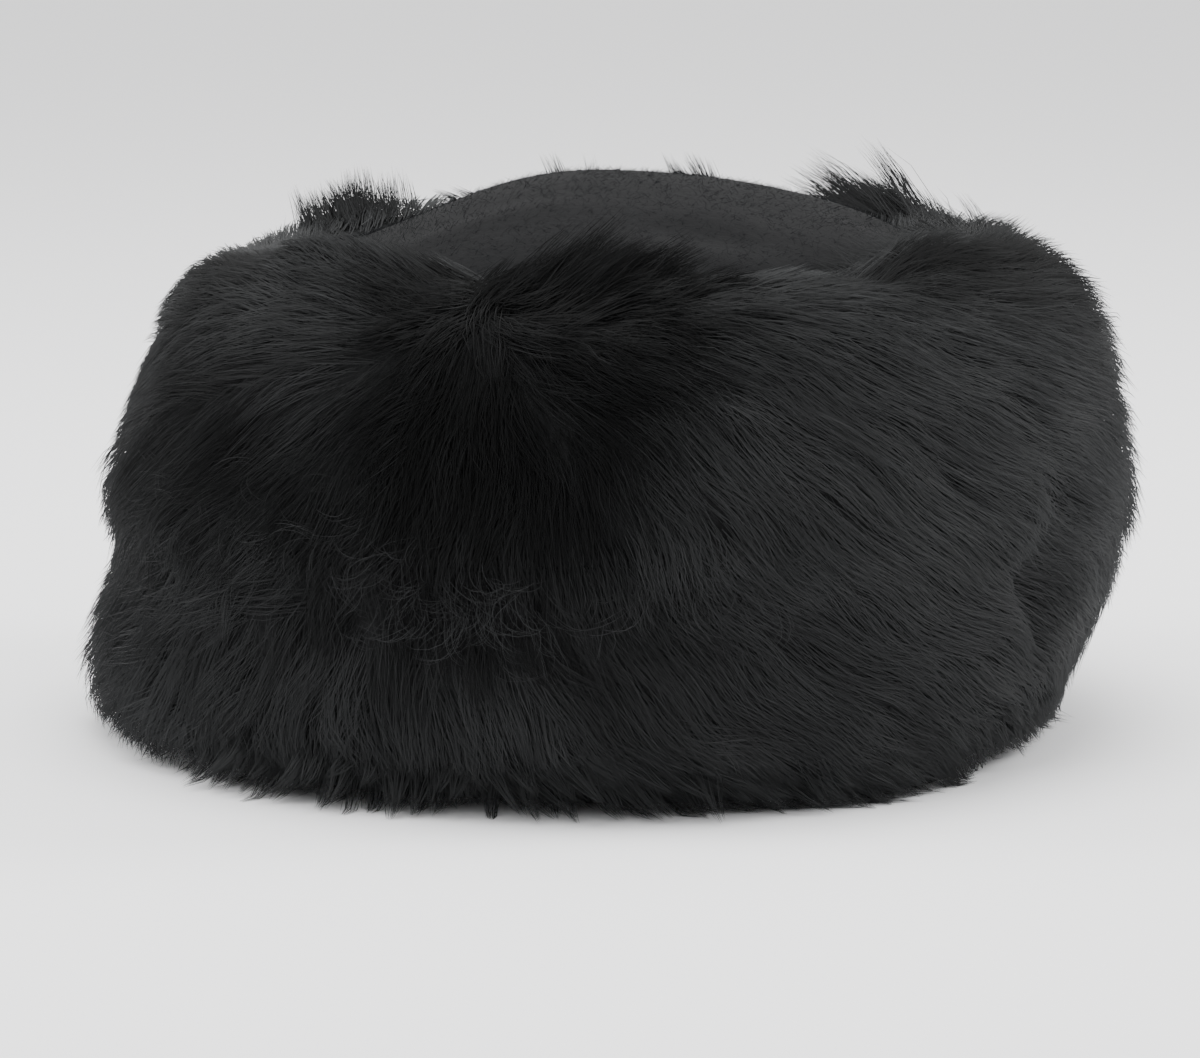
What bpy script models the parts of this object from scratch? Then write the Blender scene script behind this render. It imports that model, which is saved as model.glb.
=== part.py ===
"""Fur hat in the Cossack style, at its real size, in metres, with +Z up.

A felt crown sits in a side band of long-haired sheepskin. The band is sewn from two courses: the
upper one holds the crown, and the lower one is the rim that the hat stands on. Each course is a
hide with its deep fur, whose outer form is locks fused to the mass of hair behind them.
The front of the hat is towards -Y. Angles go round the head from the front, and 90 is +X.
"""

import math
import random
from collections import namedtuple

import bmesh
import bpy
from mathutils import Vector

MM = 0.001

# The head opening, an oval for a head of 58 cm
OPENING_BREADTH = 168 * MM
OPENING_LENGTH = 198 * MM

# Heights above the surface that the rim stands on
BAND_TOP = 107 * MM

# Clearance between sewn pieces
PIECE_GAP = 0.3 * MM

# Heights below and above the whole hat, and a width past it, for the shapes that trim it
BELOW_HAT = -60 * MM
ABOVE_HAT = 200 * MM
PAST_HAT = 400 * MM

# The crown's felt, and how far its edge stands inside the opening oval
FELT_THICKNESS = 2 * MM
CROWN_INSET = 5.3 * MM

# Steps round the oval for the lofted shapes
SECTOR_COUNT = 30

# The hair: the solid mass takes this share of its reach, and the locks stand out to all of it
MASS_SHARE = 0.78
LOCK_RADIUS = 9.2 * MM
LOCKS_IN_ROW = 20
WELD_DISTANCE = 0.1 * MM

# How unevenly the locks are set: in steps of their row, in degrees of lean and in length
PLACE_UNEVENNESS = 0.2
LEAN_UNEVENNESS = 9
LENGTH_UNEVENNESS = 0.15
RANDOM_SEED = 7

# Where the fur parts at the front, and how it leans away from the parting on both sides
PARTING_ANGLE = -17
LEAN_GROWTH_ANGLE = 32
RIGHT_LEAN = 72
LEFT_LEAN_TOP = 76
LEFT_LEAN_BOTTOM = 34
BACK_MEETING_SPREAD = 45

ReachRow = namedtuple("ReachRow", "height front right back left")
CrownRow = namedtuple("CrownRow", "share front right back left")
WallRow = namedtuple("WallRow", "height inset")
SeamPoint = namedtuple("SeamPoint", "reach height tip_drop")
LockRow = namedtuple("LockRow", "root_height length turn")
LockStep = namedtuple("LockStep", "along share girth")
CrestStep = namedtuple("CrestStep", "along share rise girth")
Tuft = namedtuple("Tuft", "first_angle last_angle height length sideways upwards inwards count")

# How far the hair reaches out from the opening oval, in mm at each height
REACH_ROWS = (
    ReachRow(-6, 9, 17, 16, 28),
    ReachRow(0, 16, 24, 23, 37),
    ReachRow(8, 26, 26, 28, 41),
    ReachRow(18, 33, 27, 33, 40),
    ReachRow(30, 36, 31, 36, 38),
    ReachRow(45, 37, 39, 36, 37),
    ReachRow(58, 38, 39, 37, 36),
    ReachRow(74, 36, 37.5, 36, 31),
    ReachRow(88, 32, 35, 33, 25),
    ReachRow(98, 27, 31, 28, 22),
    ReachRow(107, 21, 26, 22, 16),
    ReachRow(113, 14, 20, 15, 9),
    ReachRow(118, 7, 12, 8, 5),
)

# The crown's height at each ring, in mm, from its sewn edge to its middle
CROWN_ROWS = (
    CrownRow(1.00, 96, 96, 96, 96),
    CrownRow(1.00, 103, 103, 103, 103),
    CrownRow(0.99, 108, 108, 108, 107),
    CrownRow(0.94, 112, 112, 111.5, 109),
    CrownRow(0.85, 116, 116.5, 115, 110.5),
    CrownRow(0.73, 120, 120.5, 119, 114),
    CrownRow(0.58, 123.5, 124, 122.5, 118.5),
    CrownRow(0.40, 126.5, 127, 126, 124),
    CrownRow(0.20, 129, 129, 128.5, 128),
)
CROWN_MIDDLE_HEIGHT = 130 * MM

# The hide's inner face: how far it leans in from the opening oval
UPPER_WALL = (WallRow(36, 0), WallRow(70, 0), WallRow(91, 2), WallRow(101, 4), WallRow(107, 4.6))
LOWER_WALL = (WallRow(-4, 0), WallRow(30, 0), WallRow(62, 0))

# The face that parts the courses. The upper one's locks hang over the lower one in its tips
SEAM_POINTS = (
    SeamPoint(-20, 57, 0),
    SeamPoint(12, 57, 0),
    SeamPoint(24, 57, 4),
    SeamPoint(60, 56, 16),
)

# Heights of the points down the outside of each course's mass of hair
UPPER_OUTSIDE = (113, 107, 99, 89, 75, 61, 36)
LOWER_OUTSIDE = (62, 45, 31, 19, 9, 1, -4)

UPPER_LOCKS = (
    LockRow(101, 36, 0.5),
    LockRow(89, 38, 0),
    LockRow(76, 38, 0.5),
    LockRow(64, 32, 0),
)
LOWER_LOCKS = (
    LockRow(55, 34, 0.5),
    LockRow(42, 32, 0),
    LockRow(28, 30, 0.5),
    LockRow(14, 22, 0),
)

# Along its length a lock rises from the mass of hair to the full reach, and thins to its tip
LOCK_STEPS = (
    LockStep(0.0, 0.55, 1.0),
    LockStep(0.5, 0.85, 0.85),
    LockStep(1.0, 1.02, 0.0),
)

# The crest's locks rise from the top of the hide, bend over and lie outwards. They stand higher
# where the hair reaches further out than the plain reach.
CREST_LENGTH = 30 * MM
CREST_PLAIN_REACH = 20 * MM
CREST_RISE_PER_REACH = 0.5
CREST_STEPS = (
    CrestStep(0.0, 0.05, -4, 0.8),
    CrestStep(0.5, 0.50, 0, 0.8),
    CrestStep(1.0, 1.15, -6, 0.0),
)

# Locks that stand up over the edge of the crown
TUFTS = (
    Tuft(-16, 5, 105, 35, 0.75, 0.60, 0.20, 5),
    Tuft(130, 150, 105, 24, 0.30, 0.90, -0.10, 4),
    Tuft(112, 124, 103, 14, -0.60, 0.45, -0.50, 3),
    Tuft(-156, -134, 104, 19, -0.10, 0.95, -0.10, 4),
)
TUFT_GIRTH = 0.7
TUFT_SHORTEST = 0.8
TUFT_LONGEST = 1.1


def clear_scene():
    """Removes every object that the scene starts with."""
    for old in list(bpy.data.objects):
        bpy.data.objects.remove(old)


def make_collection(name):
    """A new collection in the scene."""
    collection = bpy.data.collections.new(name)
    bpy.context.scene.collection.children.link(collection)
    return collection


def make_material(name, colour, roughness):
    """A plain finish, not metallic."""
    material = bpy.data.materials.new(name)
    material.use_nodes = True
    shader = material.node_tree.nodes["Principled BSDF"]
    shader.inputs["Base Color"].default_value = (*colour, 1)
    shader.inputs["Roughness"].default_value = roughness
    shader.inputs["Metallic"].default_value = 0
    return material


def around(angle, row):
    """One row's value at an angle in degrees, blended from its front, right, back and left."""
    across = math.sin(math.radians(angle))
    along = math.cos(math.radians(angle))
    side = row.right if across > 0 else row.left
    end = row.front if along > 0 else row.back
    return side * across**2 + end * along**2


def reach(angle, height):
    """How far the hair reaches from the opening oval, all in metres."""
    at = height / MM
    rows = REACH_ROWS
    if at <= rows[0].height:
        return around(angle, rows[0]) * MM
    for below, above in zip(rows, rows[1:]):
        if at <= above.height:
            part = (at - below.height) / (above.height - below.height)
            mix = around(angle, below) * (1 - part) + around(angle, above) * part
            return mix * MM
    return around(angle, rows[-1]) * MM


def on_oval(angle, grow, height):
    """The point at this angle on the opening oval, grown outwards, at this height."""
    turn = math.radians(angle)
    return Vector((
        (OPENING_BREADTH / 2 + grow) * math.sin(turn),
        -(OPENING_LENGTH / 2 + grow) * math.cos(turn),
        height,
    ))


def lean(angle, height):
    """Degrees that the hair leans from straight down: positive is towards larger angles."""
    away = (angle - PARTING_ANGLE + 180) % 360 - 180
    grown = 1 - math.exp(-abs(away) / LEAN_GROWTH_ANGLE)
    from_meeting = 180 - abs(away)
    met = min(1, from_meeting / BACK_MEETING_SPREAD)
    if away > 0:
        most = RIGHT_LEAN
    else:
        up = min(1, max(0, height / BAND_TOP))
        most = -(LEFT_LEAN_BOTTOM + (LEFT_LEAN_TOP - LEFT_LEAN_BOTTOM) * up)
    return most * grown * met


def finish_shape(shape, mesh):
    """Welds a bmesh, turns its faces outwards, splits them to flat ones and writes the mesh."""
    bmesh.ops.remove_doubles(shape, verts=shape.verts, dist=WELD_DISTANCE)
    bmesh.ops.recalc_face_normals(shape, faces=shape.faces)
    bmesh.ops.triangulate(shape, faces=shape.faces)
    shape.to_mesh(mesh)
    shape.free()


def loft(name, sections, wrap_section):
    """A mesh object through sections of equal point counts, closed round the oval."""
    shape = bmesh.new()
    rings = [[shape.verts.new(point) for point in section] for section in sections]
    size = len(rings[0])
    last = size if wrap_section else size - 1
    for ring, after in zip(rings, rings[1:] + rings[:1]):
        for i in range(last):
            j = (i + 1) % size
            shape.faces.new((ring[i], after[i], after[j], ring[j]))
    mesh = bpy.data.meshes.new(name)
    finish_shape(shape, mesh)
    return bpy.data.objects.new(name, mesh)


def sector_angles():
    """The angles of the lofts' sections, in degrees."""
    return [360 * i / SECTOR_COUNT for i in range(SECTOR_COUNT)]


def course_section(angle, wall, outside):
    """A course's closed section: up the hide's inner face and down the outside of the hair."""
    inner = [on_oval(angle, -row.inset * MM, row.height * MM) for row in wall]
    outer = [
        on_oval(angle, MASS_SHARE * reach(angle, height * MM), height * MM)
        for height in outside
    ]
    return inner + outer


def lock_path(angle, row, lean_shift, stretch):
    """Points and girths of a lock that lies along the fur, from its root to its tip."""
    length = row.length * MM * stretch
    height = row.root_height * MM
    path = []
    for step, after in zip(LOCK_STEPS, LOCK_STEPS[1:] + LOCK_STEPS[-1:]):
        grow = step.share * reach(angle, height)
        path.append((on_oval(angle, grow, height), step.girth))
        travel = (after.along - step.along) * length
        slant = math.radians(lean(angle, height) + lean_shift)
        radius = OPENING_BREADTH / 2 + grow
        angle += math.degrees(travel * math.sin(slant) / radius)
        height -= travel * math.cos(slant)
    return path


def crest_path(angle, lean_shift, stretch):
    """Points and girths of a lock that bends over the top of the band."""
    slant = math.radians(lean(angle, BAND_TOP) + lean_shift)
    full = reach(angle, BAND_TOP)
    path = []
    for step in CREST_STEPS:
        grow = step.share * full
        travel = step.along * CREST_LENGTH * stretch * math.sin(slant)
        turn = math.degrees(travel / (OPENING_BREADTH / 2 + grow))
        height = BAND_TOP + step.rise * MM + CREST_RISE_PER_REACH * (full - CREST_PLAIN_REACH)
        path.append((on_oval(angle + turn, grow, height), step.girth))
    return path


def tuft_path(tuft, angle, stretch):
    """Points and girths of a lock that stands up from the top of the band."""
    root = on_oval(angle, LOCK_STEPS[0].share * reach(angle, tuft.height * MM), tuft.height * MM)
    turn = math.radians(angle)
    sideways = Vector((math.cos(turn), math.sin(turn), 0)) * tuft.sideways
    inwards = Vector((-math.sin(turn), math.cos(turn), 0)) * tuft.inwards
    course = (sideways + inwards + Vector((0, 0, tuft.upwards))).normalized()
    return [
        (root + course * step.along * tuft.length * MM * stretch, step.girth * TUFT_GIRTH)
        for step in LOCK_STEPS
    ]


def uneven_lock(chance, i, turn):
    """A lock's angle round its row, how much more it leans, and its length for the usual one."""
    place = i + turn + chance.uniform(-PLACE_UNEVENNESS, PLACE_UNEVENNESS)
    lean_shift = chance.uniform(-LEAN_UNEVENNESS, LEAN_UNEVENNESS)
    stretch = chance.uniform(1 - LENGTH_UNEVENNESS, 1 + LENGTH_UNEVENNESS)
    return 360 * place / LOCKS_IN_ROW, lean_shift, stretch


def top_locks(chance):
    """The paths of the crest's locks and of all locks in the tufts."""
    paths = []
    for i in range(LOCKS_IN_ROW):
        paths.append(crest_path(*uneven_lock(chance, i, 0)))
    for tuft in TUFTS:
        for i in range(tuft.count):
            part = i / (tuft.count - 1)
            angle = tuft.first_angle + (tuft.last_angle - tuft.first_angle) * part
            paths.append(tuft_path(tuft, angle, chance.uniform(TUFT_SHORTEST, TUFT_LONGEST)))
    return paths


def lying_locks(rows, chance):
    """The paths of all locks in a course's rows."""
    paths = []
    for row in rows:
        for i in range(LOCKS_IN_ROW):
            angle, lean_shift, stretch = uneven_lock(chance, i, row.turn)
            paths.append(lock_path(angle, row, lean_shift, stretch))
    return paths


def make_locks(name, paths, helpers):
    """One helper mesh that holds every lock as a tapered tube with a pointed tip."""
    curve = bpy.data.curves.new(name, "CURVE")
    curve.dimensions = "3D"
    curve.bevel_depth = LOCK_RADIUS
    curve.bevel_resolution = 0
    curve.use_fill_caps = True
    for path in paths:
        spline = curve.splines.new("POLY")
        spline.points.add(len(path) - 1)
        for point, (place, girth) in zip(spline.points, path):
            point.co = (*place, 1)
            point.radius = girth
    tubes = bpy.data.objects.new(name + "_tubes", curve)
    helpers.objects.link(tubes)
    graph = bpy.context.evaluated_depsgraph_get()
    mesh = bpy.data.meshes.new_from_object(tubes.evaluated_get(graph))
    bpy.data.objects.remove(tubes)
    shape = bmesh.new()
    shape.from_mesh(mesh)
    finish_shape(shape, mesh)
    locks = bpy.data.objects.new(name, mesh)
    return as_helper(locks, helpers)


def as_helper(helper, helpers):
    """Puts a cutter or other helper where the render leaves it out."""
    helpers.objects.link(helper)
    helper.hide_render = True
    helper.display_type = "WIRE"
    return helper


def make_slab(name, low, high, helpers):
    """A wide flat cutter between two heights."""
    bpy.ops.mesh.primitive_cube_add(size=1, location=(0, 0, (low + high) / 2))
    slab = bpy.context.object
    slab.name = name
    slab.dimensions = (PAST_HAT, PAST_HAT, high - low)
    bpy.ops.object.transform_apply(location=False, rotation=False, scale=True)
    for collection in slab.users_collection:
        collection.objects.unlink(slab)
    return as_helper(slab, helpers)


def make_seam_cutter(name, drop, closing_height, helpers):
    """A ring with the seam's face on one side, and flat at the closing height on the other."""
    sections = []
    for i in range(2 * LOCKS_IN_ROW):
        angle = 180 * i / LOCKS_IN_ROW
        face = [
            on_oval(angle, at.reach * MM, (at.height - (i % 2) * at.tip_drop) * MM + drop)
            for at in SEAM_POINTS
        ]
        outer_end = on_oval(angle, SEAM_POINTS[-1].reach * MM, closing_height)
        inner_end = on_oval(angle, SEAM_POINTS[0].reach * MM, closing_height)
        sections.append(face + [outer_end, inner_end])
    return as_helper(loft(name, sections, True), helpers)


def add_boolean(target, operation, other):
    """A Boolean that also joins the locks that cross one another."""
    boolean = target.modifiers.new(operation.title(), "BOOLEAN")
    boolean.operation = operation
    boolean.object = other
    boolean.solver = "EXACT"
    boolean.use_self = operation == "UNION"


def islands(shape):
    """The separate shells of a bmesh, each a set of faces."""
    left = set(shape.faces)
    found = []
    while left:
        shell = {left.pop()}
        waiting = list(shell)
        while waiting:
            face = waiting.pop()
            near = {other for edge in face.edges for other in edge.link_faces} & left
            left -= near
            shell |= near
            waiting.extend(near)
        found.append(shell)
    return found


def fuse(target):
    """Applies the Booleans, and drops what they cut loose or the air trapped between locks."""
    graph = bpy.context.evaluated_depsgraph_get()
    mesh = bpy.data.meshes.new_from_object(target.evaluated_get(graph))
    shape = bmesh.new()
    shape.from_mesh(mesh)
    shells = sorted(islands(shape), key=len)
    for shell in shells[:-1]:
        bmesh.ops.delete(shape, geom=list(shell), context="FACES")
    shape.to_mesh(mesh)
    shape.free()
    target.modifiers.clear()
    target.data = mesh


def make_course(name, wall, outside, paths, cutters, parts, helpers):
    """A course of the band: the hide's loft with its hair, fused to its locks and trimmed."""
    course = loft(name, [course_section(a, wall, outside) for a in sector_angles()], True)
    parts.objects.link(course)
    add_boolean(course, "UNION", make_locks(name + "_locks", paths, helpers))
    for cutter in cutters:
        add_boolean(course, "DIFFERENCE", cutter)
    fuse(course)
    return course


def crown_section(angle, grow, raised):
    """The crown's points at one angle, from its sewn edge to its middle."""
    points = []
    for row in CROWN_ROWS:
        edge = on_oval(angle, grow - CROWN_INSET, around(angle, row) * MM + raised)
        points.append(Vector((edge.x * row.share, edge.y * row.share, edge.z)))
    points.append(Vector((0, 0, CROWN_MIDDLE_HEIGHT + raised)))
    return points


def make_crown_room(helpers):
    """A solid plug, a gap larger than the crown, that keeps the hair clear of it."""
    foot = Vector((0, 0, CROWN_ROWS[0].front * MM))
    sections = [
        [foot] + crown_section(angle, PIECE_GAP, PIECE_GAP) for angle in sector_angles()
    ]
    return as_helper(loft("crown_room", sections, False), helpers)


def make_crown(parts):
    """The felt crown, a thin dome whose edge goes down inside the band."""
    crown = loft("crown", [crown_section(angle, 0, 0) for angle in sector_angles()], False)
    parts.objects.link(crown)
    felt = crown.modifiers.new("Felt", "SOLIDIFY")
    felt.thickness = FELT_THICKNESS
    felt.offset = -1
    crown.data.shade_smooth()
    return crown


def main():
    clear_scene()
    parts = make_collection("cossack_hat")
    helpers = make_collection("helpers")
    chance = random.Random(RANDOM_SEED)
    floor_slab = make_slab("floor_slab", BELOW_HAT, 0, helpers)
    under_seam = make_seam_cutter("under_seam", PIECE_GAP / 2, BELOW_HAT, helpers)
    over_seam = make_seam_cutter("over_seam", -PIECE_GAP / 2, ABOVE_HAT, helpers)
    crown_room = make_crown_room(helpers)
    upper = make_course(
        "upper_course", UPPER_WALL, UPPER_OUTSIDE,
        lying_locks(UPPER_LOCKS, chance) + top_locks(chance), [under_seam, crown_room],
        parts, helpers,
    )
    lower = make_course(
        "lower_course", LOWER_WALL, LOWER_OUTSIDE,
        lying_locks(LOWER_LOCKS, chance), [floor_slab, over_seam], parts, helpers,
    )
    crown = make_crown(parts)
    fur_finish = make_material("black_fur", (0.014, 0.015, 0.017), 0.75)
    felt_finish = make_material("black_felt", (0.030, 0.032, 0.037), 0.95)
    for piece, finish in ((upper, fur_finish), (lower, fur_finish), (crown, felt_finish)):
        piece.data.materials.clear()
        piece.data.materials.append(finish)


main()
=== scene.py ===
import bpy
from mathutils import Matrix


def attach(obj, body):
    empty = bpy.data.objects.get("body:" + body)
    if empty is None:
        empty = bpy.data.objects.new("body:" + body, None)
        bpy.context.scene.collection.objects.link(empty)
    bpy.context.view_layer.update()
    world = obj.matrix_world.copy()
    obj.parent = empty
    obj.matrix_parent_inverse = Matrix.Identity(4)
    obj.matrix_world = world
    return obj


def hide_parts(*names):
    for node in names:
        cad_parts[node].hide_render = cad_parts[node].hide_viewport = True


bl_info = {
    "name": "Sheepskin Hat",
    "version": (1, 0, 0),
    "blender": (4, 5, 0),
    "location": "View3D > Sidebar > Hat",
    "description": "Dresses a fur hat with long sheepskin hair and a felt crown, and lights it",
    "category": "Object",
}

import math
from collections import namedtuple

import bpy
import numpy as np

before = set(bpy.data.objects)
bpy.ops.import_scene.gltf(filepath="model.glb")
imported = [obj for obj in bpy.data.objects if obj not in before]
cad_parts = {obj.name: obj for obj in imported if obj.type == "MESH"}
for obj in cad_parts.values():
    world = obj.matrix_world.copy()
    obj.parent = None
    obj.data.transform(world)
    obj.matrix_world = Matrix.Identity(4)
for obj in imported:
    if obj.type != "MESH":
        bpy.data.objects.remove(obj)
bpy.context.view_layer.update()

MM = 0.001
TINY = 1e-12
HAIR_MAP = "OFBake"
SIDES = ("front", "right", "back", "left")

ProfileRow = namedtuple("ProfileRow", "path height front right back left core_height core_grow")
CrownRow = namedtuple("CrownRow", "travel share front right back left")
Bump = namedtuple("Bump", "angle path angle_spread path_spread amount")
Dent = namedtuple("Dent", "across along breadth length rise")
Curls = namedtuple("Curls", "angle path angle_spread path_spread locks turn tone")
Tuft = namedtuple(
    "Tuft",
    "first_angle last_angle path locks radius length sideways upwards outwards "
    "end_sideways end_upwards end_outwards gather tone",
)

# The hair's outer face in section, in mm. It runs from over the crown's edge, across the crest and
# down to the rim. Its reach is measured out from the opening oval at the front, right, back and
# left. The core is where hair that ends at this place of the face has its root.
PROFILE = (
    ProfileRow(-30, 111, -20, -24, -20, -18, 104, -8),
    ProfileRow(-20, 114.5, -11, -15, -11, -10, 104, -5),
    ProfileRow(-10, 117, -1, -3, -1, -1, 104, -2),
    ProfileRow(-2, 117.5, 5, 7, 5, 4, 103, 1),
    ProfileRow(6, 115.5, 13, 16, 13, 9, 101, 5),
    ProfileRow(14, 110.5, 19, 24, 20, 15, 98, 8),
    ProfileRow(21, 105, 24, 30.5, 25, 19.5, 95, 10),
    ProfileRow(28, 98, 28, 34.5, 29, 23, 91, 12),
    ProfileRow(39.5, 88, 33, 38, 34, 26.5, 84, 14),
    ProfileRow(54, 74, 37, 40.5, 37, 32.5, 72, 16),
    ProfileRow(70, 58, 39, 41.5, 38, 38, 57, 17),
    ProfileRow(80, 48, 38, 41, 37, 36.5, 48, 17),
    ProfileRow(90, 38, 37, 37.5, 37, 35.5, 39, 17),
    ProfileRow(100, 28, 36, 33, 37, 39.5, 30, 17),
    ProfileRow(111, 17, 32, 27, 34, 43, 20, 16),
    ProfileRow(121, 8.5, 26, 24, 29, 43, 13, 13),
    ProfileRow(129, 2, 20, 21, 24, 39, 9, 9),
    ProfileRow(133, 0.5, 19, 20, 22, 36, 6, 5),
    ProfileRow(146, 0.4, 28, 29, 31, 43, 5, 5),
    ProfileRow(156, 0.4, 36, 37, 38, 50, 5, 5),
)

# How the hair falls: degrees from straight down, and positive towards larger angles round the head
FLOW_ANGLES = (
    -180, -150, -110, -80, -50, -32, -24, -17, -10, 0, 12, 24, 38, 56, 80, 115, 150, 180,
)
FLOW_ROWS = {
    -10: (0, -55, -70, -80, -92, -102, -108, 40, 158, 140, 116, 92, 80, 78, 82, 70, 45, 0),
    4: (0, -50, -64, -74, -86, -94, -92, 15, 120, 102, 82, 70, 66, 70, 78, 66, 42, 0),
    16: (0, -46, -58, -66, -76, -80, -66, -4, 74, 74, 62, 56, 56, 64, 72, 62, 40, 0),
    28: (0, -42, -52, -58, -66, -62, -42, -6, 38, 54, 52, 50, 52, 60, 68, 58, 38, 0),
    40: (0, -40, -48, -54, -58, -44, -24, -5, 18, 38, 45, 47, 50, 56, 64, 55, 36, 0),
    55: (0, -38, -44, -50, -50, -28, -12, -3, 6, 20, 30, 40, 48, 56, 62, 52, 34, 0),
    66: (0, -36, -42, -47, -44, -22, -8, -1, 4, 12, 21, 34, 46, 56, 48, 44, 33, 0),
    80: (0, -35, -40, -44, -38, -17, -5, 2, 10, 26, 42, 52, 58, 58, 42, 42, 32, 0),
    100: (0, -32, -36, -36, -26, -8, 0, 8, 22, 42, 54, 60, 60, 58, 44, 42, 30, 0),
    125: (0, -28, -30, -26, -16, 0, 6, 12, 24, 42, 54, 58, 56, 54, 52, 42, 26, 0),
}

# Places where the hair stands further out than the profile, or sinks in, by a share of its depth
SWELLS = (
    Bump(-38, -8, 16, 15, 0.42),
    Bump(-68, -2, 16, 12, -0.18),
    Bump(-102, -4, 22, 14, -0.45),
    Bump(-17, 2, 4, 9, -0.12),
    Bump(-2, -6, 13, 11, 0.30),
    Bump(40, -5, 4, 7, -0.60),
    Bump(59, -9, 11, 12, 0.50),
    Bump(-50, -7, 13, 12, 0.36),
    Bump(78, 14, 22, 14, 0.07),
    Bump(52.5, 81, 2.6, 5, -0.50),
    Bump(55, 75, 2.3, 5, -0.32),
    Bump(57.5, 68, 2.3, 6, -0.28),
    Bump(54, 88, 2.3, 5, -0.34),
    Bump(57, 96, 2.3, 6, -0.30),
    Bump(63, 82, 5, 15, 0.12),
    Bump(-12, 131, 9, 9, -0.22),
    Bump(38, 133, 15, 12, 0.45),
    Bump(59, 142, 9, 10, -0.60),
)

# Painted light and shade: places where the hair's tone is made darker where shade falls or paler where
# light falls. 0.5 is the usual tone, and these are added to it
PAINTED_SHADE_AND_LIGHT = (
    # Painted shade in the middle of the front and at the parting
    Bump(-14, 14, 10, 24, -0.60),
    Bump(0, 4, 18, 12, -0.42),
    Bump(-7, 40, 10, 30, -0.42),
    # Painted shade across the left of the front and the left side
    Bump(-24, 52, 16, 24, -0.28),
    Bump(-43, 52, 18, 28, -0.30),
    Bump(-58, 44, 18, 24, -0.22),
    Bump(-80, 22, 20, 26, -0.20),
    Bump(-82, 60, 18, 50, -0.10),
    # Painted shade that damps the lamps' light on the left top
    Bump(-56, 0, 30, 17, -0.28),
    Bump(-66, -3, 20, 12, -0.16),
    # Painted shadow under the break on the left, and painted shade low on the left
    Bump(-66, 88, 16, 13, -0.22),
    Bump(-50, 104, 26, 24, -0.04),
    # Painted shadow along the crown's edge on the right
    Bump(34, -4, 15, 11, -0.24),
    Bump(46, -9, 8, 9, -0.30),
    # Painted shade that damps the lamps' light on the right crest and side
    Bump(64, 0, 30, 16, -0.36),
    Bump(84, 18, 32, 34, -0.28),
    # Painted light on the right crest
    Bump(50, 44, 22, 36, 0.09),
    # Painted shade in the crevice on the right, and painted light on the lobe beside it
    Bump(52, 81, 2.5, 5, -0.30),
    Bump(60, 88, 4, 10, 0.24),
    # Painted shade at the parting and round the whorl
    Bump(-20, 1, 7, 10, -0.30),
    Bump(-20, 26, 9, 16, -0.26),
    Bump(4, 18, 11, 8, -0.20),
    Bump(-27, -15, 8, 9, -0.22),
    # Painted shadow under the break between the courses at the front
    Bump(-12, 78, 22, 10, -0.32),
    Bump(5, 97, 17, 17, -0.22),
    # Painted light on the fringe's tips by the floor, against their contact shadow
    Bump(0, 140, 200, 10, 0.34),
)

# Curled locks along the break between the courses
CURLS = (
    Curls(-15, 85, 6, 4, 56, 150, 0.40),
    Curls(-27, 76, 6, 3, 36, 140, 0.34),
    Curls(-34, 68, 9, 4, 18, 120, 0.26),
    Curls(11, 79, 7, 4, 40, 130, 0.42),
    Curls(-50, 74, 9, 4, 24, 140, 0.30),
    Curls(-46, 92, 12, 8, 40, 130, 0.36),
)

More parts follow.
